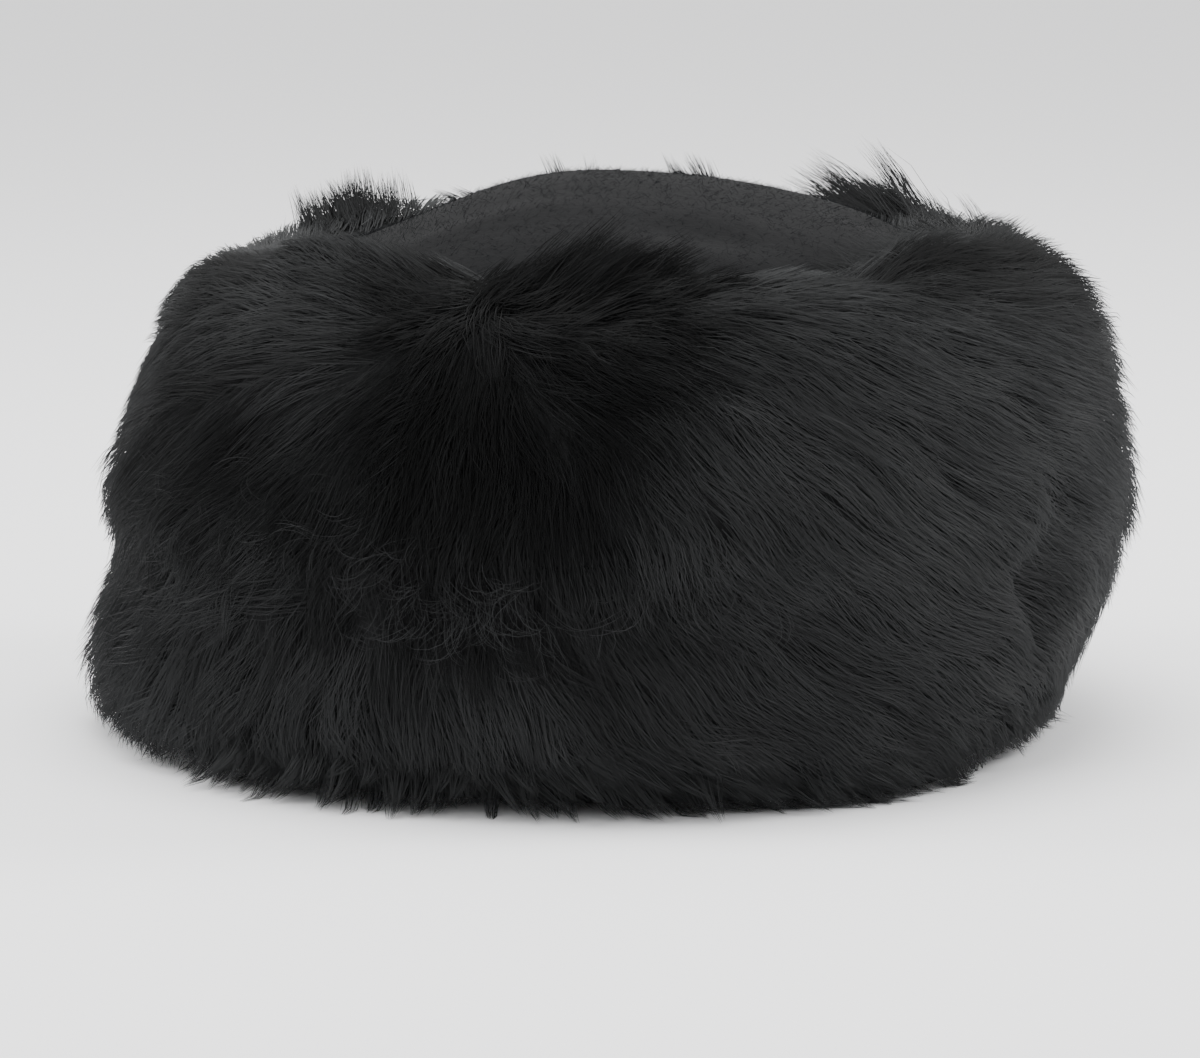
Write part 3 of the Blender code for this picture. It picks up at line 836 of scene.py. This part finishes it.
def upper_hair():
    """All the hairs of the upper course, in groups of hairs with the same count of stops."""
    look = bpy.context.scene.hair_look
    rng = np.random.default_rng(look.seed)
    phases, angle, path, length, fall = course_locks(rng, UPPER_ROOTS, UPPER_LENGTH)
    count = len(angle)
    brink = BREAK_PATH + BREAK_RIPPLE * ripple(angle, 0 * path, phases[:4])
    to_break = (brink + rng.uniform(*BREAK_JITTER, count) - path) / fall
    length = np.clip(np.minimum(length, to_break), SHORTEST_UPPER, None)
    last_share = last_shares(rng, angle, path, phases[:4])
    calm = np.clip((path - CALM_PATH) / CALM_RUN, LEAST_WANDER, 1)
    wander = WANDER_RIPPLE * ripple(angle, path, phases[4:8]) + rng.normal(0, UPPER_WANDER, count)
    wander = calm * unevenness(angle) * wander
    # Each lock's tone carries the painted light and shade here
    tone = tone_with_painted_light_at(angle, path, phases[8:]) + rng.normal(0, TONE_JITTER, count)
    gather = rng.uniform(*LOCK_GATHER, count)
    first_share = 0 * angle + ROOT_SHARE
    locks = Locks(angle, path, length, first_share, last_share, wander, 0 * angle, gather, tone)
    groups = []
    for some in (locks, parting_locks(rng)):
        groups.append(lying_hair(rng, some, STRAIGHT_STOPS, look.hairs_in_lock))
    for curls in CURLS:
        groups.append(lying_hair(rng, curled_locks(rng, curls), CURLED_STOPS, CURLED_HAIRS))
    for tuft in TUFTS:
        groups.append(standing_hair(rng, tuft))
    return groups


def covering_locks(rng, angle, path, length, cover):
    """Short locks that hide the hide."""
    count = len(angle)
    last_share = cover.share + rng.normal(0, cover.share_jitter, count)
    wander = rng.normal(0, cover.wander, count)
    tone = rng.normal(cover.tone, cover.tone_jitter, count)
    gather = rng.uniform(*cover.gather, count)
    first_share = 0 * angle + ROOT_SHARE
    return Locks(angle, path, length, first_share, last_share, wander, 0 * angle, gather, tone)


def parting_locks(rng):
    """Locks that cross the parting, and those at the whorl beside its top."""
    parting = PARTING_ANGLE + rng.normal(0, PARTING_SPREAD, PARTING_LOCKS)
    whorl = WHORL_ANGLE + rng.normal(0, WHORL_SPREAD, WHORL_LOCKS)
    angle = np.concatenate([parting, whorl])
    parting_paths = rng.uniform(*PARTING_PATHS, PARTING_LOCKS)
    whorl_paths = rng.uniform(*WHORL_PATHS, WHORL_LOCKS)
    path = np.concatenate([parting_paths, whorl_paths])
    length = rng.uniform(*PARTING_LENGTH, len(angle))
    return covering_locks(rng, angle, path, length, PARTING_COVER)


def rim_locks(rng):
    """Locks along the front of the rim."""
    angle = rng.uniform(*RIM_ANGLES, RIM_LOCKS)
    path = rng.uniform(*RIM_PATHS, RIM_LOCKS)
    length = np.clip(RIM_END - path, *RIM_LENGTH)
    return covering_locks(rng, angle, path, length, RIM_COVER)


def curled_locks(rng, curls):
    """Locks whose ends curl, by a place on the break."""
    count = curls.locks
    angle = curls.angle + rng.normal(0, curls.angle_spread, count)
    path = curls.path - ROOTS_ABOVE_CURL + rng.normal(0, curls.path_spread, count)
    length = rng.uniform(*CURLED_LENGTH, count)
    last_share = CURLED_OUTER_SHARE + rng.normal(0, CURLED_SHARE_JITTER, count)
    wander = rng.normal(0, CURLED_WANDER, count)
    curl = rng.choice([-1, 1], count) * curls.turn * rng.uniform(*CURLED_TURN, count)
    tone = curls.tone + rng.normal(0, CURLED_TONE_JITTER, count)
    gather = rng.uniform(*CURLED_GATHER, count)
    first_share = 0 * angle + CURLED_ROOT_SHARE
    return Locks(angle, path, length, first_share, last_share, wander, curl, gather, tone)


def lower_hair():
    """All the hairs of the lower course, in groups of hairs with the same count of stops."""
    look = bpy.context.scene.hair_look
    rng = np.random.default_rng(look.seed + 1)
    phases, angle, path, length, fall = course_locks(rng, LOWER_ROOTS, LOWER_LENGTH)
    count = len(angle)
    frontness = sum(
        at.share * np.exp(-(((angle - at.angle) / at.spread) ** 2)) for at in FRINGE_PLACES
    )
    fringe = (rng.uniform(0, 1, count) < FRINGE_SHARE * frontness) & (path > FRINGE_ROOTS)
    rim = np.where(fringe, rng.uniform(*FRINGE_RIM, count), rng.uniform(*PLAIN_RIM, count))
    to_rim = (rim - path) / fall
    plain_length = np.clip(np.minimum(length, to_rim), SHORTEST_LOWER, None)
    length = np.where(fringe, np.clip(to_rim, SHORTEST_LOWER, FRINGE_LENGTH), plain_length)
    last_share = last_shares(rng, angle, path, phases[:4])
    last_share = last_share - SINK_SHARE * np.clip((SINK_END - path) / SINK_RUN, 0, 1)
    uneven = unevenness(angle)
    tangle = np.exp(-(((angle - TANGLE_ANGLE) / TANGLE_SPREAD) ** 2))
    wander = WANDER_RIPPLE * uneven * ripple(angle, path, phases[4:8])
    wander = wander + rng.normal(0, 1, count) * (LOWER_WANDER * uneven + TANGLE_WANDER * tangle)
    # Each lock's tone carries the painted light and shade here
    tone = tone_with_painted_light_at(angle, path, phases[8:]) + rng.normal(0, TONE_JITTER, count)
    gather = np.where(fringe, FRINGE_GATHER, rng.uniform(*LOCK_GATHER, count))
    first_share = 0 * angle + ROOT_SHARE
    locks = Locks(angle, path, length, first_share, last_share, wander, 0 * angle, gather, tone)
    groups = []
    for some in (locks, rim_locks(rng)):
        groups.append(lying_hair(rng, some, STRAIGHT_STOPS, look.hairs_in_lock))
    return groups


# Finishes

# At this part of a hair's length its colour has gone this share of the way from root to tip
MIDDLE_LENGTH = 0.45
MIDDLE_PALENESS = 0.6
# What each tone multiplies the hair's colour by
TONE_COLOURS = (
    (0.0, (0.06, 0.06, 0.06)),
    (0.5, (1.0, 1.0, 1.0)),
    (1.0, (2.0, 1.97, 1.9)),
)
HAIR_SPECULAR = 0.07
MATT_SPECULAR = 0.04
MATT_ROUGHNESS = 0.95
NAP_ROUGHNESS = 0.9
SHEEN_ROUGHNESS = 0.6
BUMP_DEPTH = 0.0004
FLOOR_ROUGHNESS = 0.9
FLOOR_SPECULAR = 0.2
NOISE_DETAIL = 6
NOISE_ROUGHNESS = 0.65
DARK_AT = 0.3
LIGHT_AT = 0.7
Mottle = namedtuple("Mottle", "scale sheen bump")
FELT_MOTTLE = Mottle(260, 0.03, 0.5)
UNDERWOOL_MOTTLE = Mottle(420, 0.0, 0.8)
UNDERWOOL_DARK = (0.0110, 0.0113, 0.0116)
UNDERWOOL_LIGHT = (0.0180, 0.0185, 0.0190)
# The felt's colour is multiplied by these for its dark and light mottles, and for its nap's tips, which are
# painted paler than the felt: painted light, so that the nap doesn't show dark in its own shade against the
# felt
FELT_DARKER = 0.88
FELT_LIGHTER = 1.12
NAP_PAINTED_LIGHT = 2.4


def new_material(name, roughness, specular):
    """A material with its nodes, and its tree and shader."""
    material = bpy.data.materials.new(name)
    material.use_nodes = True
    shader = material.node_tree.nodes["Principled BSDF"]
    shader.inputs["Roughness"].default_value = roughness
    shader.inputs["Specular IOR Level"].default_value = specular
    return material, material.node_tree, shader


def ramp_node(tree, stops):
    """A colour ramp through (position, colour) stops."""
    ramp = tree.nodes.new("ShaderNodeValToRGB")
    while len(ramp.color_ramp.elements) < len(stops):
        ramp.color_ramp.elements.new(0.5)
    for element, (position, colour) in zip(ramp.color_ramp.elements, stops):
        element.position = position
        element.color = (*colour, 1)
    return ramp


def hair_material(name, root, tip, roughness, specular):
    """Hair that grows paler from root to tip, and whose tone the hair's own map gives."""
    material, tree, shader = new_material(name, roughness, specular)
    chart = tree.nodes.new("ShaderNodeUVMap")
    chart.uv_map = HAIR_MAP
    split = tree.nodes.new("ShaderNodeSeparateXYZ")
    middle = [low + (high - low) * MIDDLE_PALENESS for low, high in zip(root, tip)]
    length_ramp = ramp_node(tree, ((0.0, root), (MIDDLE_LENGTH, middle), (1.0, tip)))
    tone_ramp = ramp_node(tree, TONE_COLOURS)
    mix = tree.nodes.new("ShaderNodeMix")
    mix.data_type = "RGBA"
    mix.blend_type = "MULTIPLY"
    mix.inputs["Factor"].default_value = 1
    tree.links.new(chart.outputs["UV"], split.inputs[0])
    tree.links.new(split.outputs["X"], tone_ramp.inputs[0])
    tree.links.new(split.outputs["Y"], length_ramp.inputs[0])
    tree.links.new(length_ramp.outputs["Color"], mix.inputs["A"])
    tree.links.new(tone_ramp.outputs["Color"], mix.inputs["B"])
    tree.links.new(mix.outputs["Result"], shader.inputs["Base Color"])
    return material


def mottled_material(name, dark, light, mottle):
    """A matt surface mottled between two colours, with a fine bump."""
    material, tree, shader = new_material(name, MATT_ROUGHNESS, MATT_SPECULAR)
    shader.inputs["Sheen Weight"].default_value = mottle.sheen
    shader.inputs["Sheen Roughness"].default_value = SHEEN_ROUGHNESS
    place_node = tree.nodes.new("ShaderNodeTexCoord")
    noise = tree.nodes.new("ShaderNodeTexNoise")
    noise.inputs["Scale"].default_value = mottle.scale
    noise.inputs["Detail"].default_value = NOISE_DETAIL
    noise.inputs["Roughness"].default_value = NOISE_ROUGHNESS
    ramp = ramp_node(tree, ((DARK_AT, dark), (LIGHT_AT, light)))
    relief = tree.nodes.new("ShaderNodeBump")
    relief.inputs["Strength"].default_value = mottle.bump
    relief.inputs["Distance"].default_value = BUMP_DEPTH
    tree.links.new(place_node.outputs["Object"], noise.inputs["Vector"])
    tree.links.new(noise.outputs["Fac"], ramp.inputs[0])
    tree.links.new(ramp.outputs["Color"], shader.inputs["Base Color"])
    tree.links.new(noise.outputs["Fac"], relief.inputs["Height"])
    tree.links.new(relief.outputs["Normal"], shader.inputs["Normal"])
    return material


# Pieces

# How finely the hides and the crown are divided
RING_SECTORS = 108
RING_OUTER_POINTS = 22
CROWN_SEGMENTS = 96
CROWN_RINGS = 72
CROWN_CUT = 0.001
# Where the underwool of each course begins and ends on the hair's section
UPPER_UNDERWOOL = (-20, 72)
LOWER_UNDERWOOL = (71, 139)

# The felt's nap: its short hairs' lay, how far they stand up, their lengths and their tones
NAP_SEED = 5
NAP_LIFT = 0.55
NAP_LEAN = (0.25, -0.1, 0.0)
NAP_STAND = (0.15, 0.9)
NAP_LENGTH = (0.5, 1.5)
NAP_TONE = (0.3, 0.7)
NAP_SINK = 0.0002
NAP_RADIUS = 0.00006
# The nap ends at this row of the crown
NAP_ROW = CROWN[-3]


def deselect():
    for item in bpy.context.selected_objects:
        item.select_set(False)


def finished(piece):
    """Sets a piece to ride with the hat."""
    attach(piece, "root")


def set_points(piece, points):
    """Moves a piece's points."""
    piece.data.vertices.foreach_set("co", np.asarray(points, np.float32).ravel())
    piece.data.update()


def recalculated(piece):
    """Turns a piece's faces outwards and shades it smooth."""
    deselect()
    piece.select_set(True)
    bpy.context.view_layer.objects.active = piece
    bpy.ops.object.mode_set(mode="EDIT")
    bpy.ops.mesh.select_all(action="SELECT")
    bpy.ops.mesh.normals_make_consistent(inside=False)
    bpy.ops.object.mode_set(mode="OBJECT")
    bpy.ops.object.shade_smooth()


def hide_ring(name, wall, underwool, material):
    """A course's hide with its underwool: a ring shaped to the course's section."""
    section_points = len(wall) + RING_OUTER_POINTS
    deselect()
    bpy.ops.mesh.primitive_torus_add(major_segments=RING_SECTORS, minor_segments=section_points)
    ring = bpy.context.object
    ring.name = name
    ring.data.name = name
    angles = np.arange(RING_SECTORS) * 360 / RING_SECTORS
    sections = [on_oval(angles, -inset + 0 * angles, height) for height, inset in wall]
    first_path, last_path = underwool
    for i in range(RING_OUTER_POINTS):
        path = first_path + (last_path - first_path) * i / (RING_OUTER_POINTS - 1)
        sections.append(place(angles, path + 0 * angles, UNDERWOOL_SHARE + 0 * angles))
    set_points(ring, np.stack(sections, 1).reshape(-1, 3))
    ring.matrix_world.identity()
    recalculated(ring)
    ring.data.materials.append(material)
    return ring


def smoothly(at, places, values):
    """Smooth values between the rows of a table."""
    slopes = np.gradient(values, places)
    low = np.clip(np.searchsorted(places, at, side="right") - 1, 0, len(places) - 2)
    span = places[low + 1] - places[low]
    t = np.clip((at - places[low]) / span, 0, 1)
    return (
        (2 * t**3 - 3 * t**2 + 1) * values[low]
        + (t**3 - 2 * t**2 + t) * span * slopes[low]
        + (3 * t**2 - 2 * t**3) * values[low + 1]
        + (t**3 - t**2) * span * slopes[low + 1]
    )


def crown_points(angle, travel):
    """Points on the crown's outer face, a travel in mm out from its middle."""
    rows = column(CROWN, "travel")
    share = smoothly(travel, rows, column(CROWN, "share"))
    around = [smoothly(travel, rows, column(CROWN, side)) for side in SIDES]
    points = on_oval(angle, -CROWN_INSET + 0 * angle, blend_round(angle, *around))
    points[..., 0] *= share
    points[..., 1] *= share
    for dent in CROWN_DENTS:
        across = (points[..., 0] / MM - dent.across) / dent.breadth
        along = (points[..., 1] / MM - dent.along) / dent.length
        points[..., 2] += dent.rise * MM * np.exp(-(across**2) - along**2)
    return points


def crown_felt(shape, material):
    """The crown's felt: the upper half of a ball, set to the crown's form and thickened inwards."""
    deselect()
    bpy.ops.mesh.primitive_uv_sphere_add(segments=CROWN_SEGMENTS, ring_count=CROWN_RINGS, radius=1)
    crown = bpy.context.object
    crown.name = "crown_felt"
    crown.data.name = "crown_felt"
    bpy.ops.object.mode_set(mode="EDIT")
    bpy.ops.mesh.select_all(action="SELECT")
    bpy.ops.mesh.bisect(plane_co=(0, 0, CROWN_CUT), plane_no=(0, 0, 1), clear_inner=True)
    bpy.ops.object.mode_set(mode="OBJECT")
    ball = np.empty(len(crown.data.vertices) * 3, np.float32)
    crown.data.vertices.foreach_get("co", ball)
    ball = ball.reshape(-1, 3).astype(float)
    travel = np.degrees(np.arccos(np.clip(ball[:, 2], -1, 1))) / 90
    travel = np.clip(travel / travel.max(), 0, 1) * CROWN[-1].travel
    angle = np.degrees(np.arctan2(ball[:, 0], -ball[:, 1]))
    set_points(crown, crown_points(angle, travel))
    recalculated(crown)
    felt = crown.modifiers.new("Felt", "SOLIDIFY")
    felt.thickness = shape.felt_thickness
    felt.offset = -1
    bpy.ops.object.modifier_apply(modifier=felt.name)
    crown.data.materials.append(material)
    return crown


def crown_nap(look, material):
    """The short hairs of the crown's felt, which lie mostly one way."""
    rng = np.random.default_rng(NAP_SEED)
    count = look.nap_count
    travel = NAP_ROW.travel * np.sqrt(rng.uniform(0.0, 1, count))
    angle = rng.uniform(-180, 180, count)
    root = crown_points(angle, travel)
    toward = crown_points(angle + 1, travel) - root
    outward_step = crown_points(angle, travel + 0.5) - root
    normal = unit(np.cross(unit(outward_step), unit(toward)))
    normal[normal[:, 2] < 0] *= -1
    lay = unit(rng.normal(0, 1, (count, 3)) + NAP_LIFT * normal + np.array(NAP_LEAN))
    lay = lay - normal * np.sum(lay * normal, 1, keepdims=True)
    course = unit(unit(lay) + normal * rng.uniform(*NAP_STAND, count)[:, None])
    length = look.nap_length * rng.uniform(*NAP_LENGTH, count)[:, None]
    root = root - normal * NAP_SINK
    lines = np.stack([root, root + course * length], 1)
    outward = np.repeat(normal[:, None], 2, 1)
    girths = np.tile([1.0, 0.0], (count, 1))
    group = (lines, outward, girths, rng.uniform(*NAP_TONE, count))
    return hair_piece("crown_nap", [group], NAP_RADIUS, material)


class HAT_OT_crown(bpy.types.Operator):
    """Makes the felt crown with its nap"""

    bl_idname = "hat.crown"
    bl_label = "Crown"

    def execute(self, context):
        look = context.scene.crown_look
        dark, light, pale = (
            [share * part for part in look.felt_colour]
            for share in (FELT_DARKER, FELT_LIGHTER, NAP_PAINTED_LIGHT)
        )
        felt_finish = mottled_material("black_felt", dark, light, FELT_MOTTLE)
        crown = crown_felt(context.scene.hat_shape, felt_finish)
        finished(crown)
        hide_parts("crown")

        # The nap is painted paler than the felt towards its tips: painted light against its own shade
        nap_finish = hair_material("felt_nap", light, pale, NAP_ROUGHNESS, MATT_SPECULAR)
        finished(crown_nap(look, nap_finish))
        return {"FINISHED"}


class HAT_OT_hides(bpy.types.Operator):
    """Makes the hide and underwool of both courses"""

    bl_idname = "hat.hides"
    bl_label = "Hides"

    def execute(self, context):
        finish = mottled_material(
            "sheepskin_underwool", UNDERWOOL_DARK, UNDERWOOL_LIGHT, UNDERWOOL_MOTTLE
        )
        upper = hide_ring("upper_hide", UPPER_WALL, UPPER_UNDERWOOL, finish)
        lower = hide_ring("lower_hide", LOWER_WALL, LOWER_UNDERWOOL, finish)
        finished(upper)
        finished(lower)
        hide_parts("upper_course")
        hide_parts("lower_course")
        return {"FINISHED"}


# The hair's pieces, by the angles that they lie between
SECTORS = (
    ("left_front", -62, -12),
    ("right_front", -12, 40),
    ("right", 40, 105),
    ("back", 105, -118),
    ("left", -118, -62),
)


class HAT_OT_hair(bpy.types.Operator):
    """Grows the long hair of both courses"""

    bl_idname = "hat.hair"
    bl_label = "Hair"

    def execute(self, context):
        look = context.scene.hair_look
        colours = (look.root_colour, look.tip_colour)
        finish = hair_material("black_sheepskin_hair", *colours, look.roughness, HAIR_SPECULAR)
        for course, groups in (("upper", upper_hair()), ("lower", lower_hair())):
            for side, first, last in SECTORS:
                share = [in_sector(group, first, last) for group in groups]
                share = [group for group in share if len(group[0])]
                piece = hair_piece(f"{course}_hair_{side}", share, look.hair_radius, finish)
                finished(piece)
        return {"FINISHED"}


# Studio

StudioLight = namedtuple("StudioLight", "name spot breadth power")
LIGHTS = (
    StudioLight("left_light", (-1.1, 0.1, 0.9), 0.6, 8),
    StudioLight("right_light", (1.2, 0.2, 0.8), 0.6, 12),
    StudioLight("top_light", (0.0, -0.1, 1.4), 1.0, 22),
)
SKY_STRENGTH = 1.45
FLOOR_BREADTH = 12
FLOOR_SPOT = (0, 3, 0)
HAT_MIDDLE = (0, 0, 0.0595)
SENSOR_WIDTH = 36
CAMERA_SHIFT = (-0.010, -0.0489)
CAMERA_REACH = (0.05, 50)


class HAT_OT_studio(bpy.types.Operator):
    """Makes the floor, the light and the camera"""

    bl_idname = "hat.studio"
    bl_label = "Studio"

    def execute(self, context):
        look = context.scene.studio_look
        deselect()
        bpy.ops.mesh.primitive_plane_add(size=FLOOR_BREADTH, location=FLOOR_SPOT)
        floor = context.object
        floor.name = "floor"
        bpy.ops.object.transform_apply(location=True, rotation=False, scale=False)
        material, _, shader = new_material("pale_floor", FLOOR_ROUGHNESS, FLOOR_SPECULAR)
        shader.inputs["Base Color"].default_value = (*look.floor_colour, 1)
        floor.data.materials.append(material)

        world = bpy.data.worlds.new("studio")
        world.use_nodes = True
        sky = world.node_tree.nodes["Background"]
        sky.inputs["Color"].default_value = (1, 1, 1, 1)
        sky.inputs["Strength"].default_value = SKY_STRENGTH
        context.scene.world = world

        middle = np.array(HAT_MIDDLE)
        for row in LIGHTS:
            bpy.ops.object.light_add(type="AREA", location=row.spot)
            light = context.object
            light.name = row.name
            light.data.shape = "DISK"
            light.data.size = row.breadth
            light.data.energy = row.power
            aim_at(light, middle)

        distance = look.camera_distance
        elevation = look.camera_elevation
        spot = middle + distance * np.array([0, -math.cos(elevation), math.sin(elevation)])
        bpy.ops.object.camera_add(location=spot)
        camera = context.object
        camera.name = "camera"
        aim_at(camera, middle)
        camera.data.sensor_width = SENSOR_WIDTH
        camera.data.lens = SENSOR_WIDTH * distance / look.frame_breadth
        camera.data.shift_x, camera.data.shift_y = CAMERA_SHIFT
        camera.data.clip_start, camera.data.clip_end = CAMERA_REACH
        context.scene.camera = camera
        return {"FINISHED"}


def aim_at(thing, target):
    """Turns a light or camera to look at a place."""
    way = np.array(thing.location) - target
    flat = math.hypot(way[0], way[1])
    thing.rotation_euler = (math.atan2(flat, way[2]), 0, math.atan2(way[0], -way[1]))


class HAT_PT_panel(bpy.types.Panel):
    bl_label = "Sheepskin hat"
    bl_idname = "HAT_PT_panel"
    bl_space_type = "VIEW_3D"
    bl_region_type = "UI"
    bl_category = "Hat"

    def draw(self, context):
        scene = context.scene
        for group in (scene.hat_shape, scene.crown_look, scene.hair_look, scene.studio_look):
            box = self.layout.box()
            for name in group.__annotations__:
                box.prop(group, name)
        for operator in OPERATORS:
            self.layout.operator(operator.bl_idname)


OPERATORS = (HAT_OT_crown, HAT_OT_hides, HAT_OT_hair, HAT_OT_studio)
GROUPS = {
    "hat_shape": HatShape,
    "crown_look": CrownLook,
    "hair_look": HairLook,
    "studio_look": StudioLook,
}


def register():
    for group in GROUPS.values():
        bpy.utils.register_class(group)
    for name, group in GROUPS.items():
        setattr(bpy.types.Scene, name, bpy.props.PointerProperty(type=group))
    for item in (*OPERATORS, HAT_PT_panel):
        bpy.utils.register_class(item)


def unregister():
    for item in (*OPERATORS, HAT_PT_panel):
        bpy.utils.unregister_class(item)
    for name, group in GROUPS.items():
        delattr(bpy.types.Scene, name)
        bpy.utils.unregister_class(group)


def main():
    register()
    bpy.ops.hat.crown()
    bpy.ops.hat.hides()
    bpy.ops.hat.hair()
    bpy.ops.hat.studio()


if __name__ == "__main__":
    main()
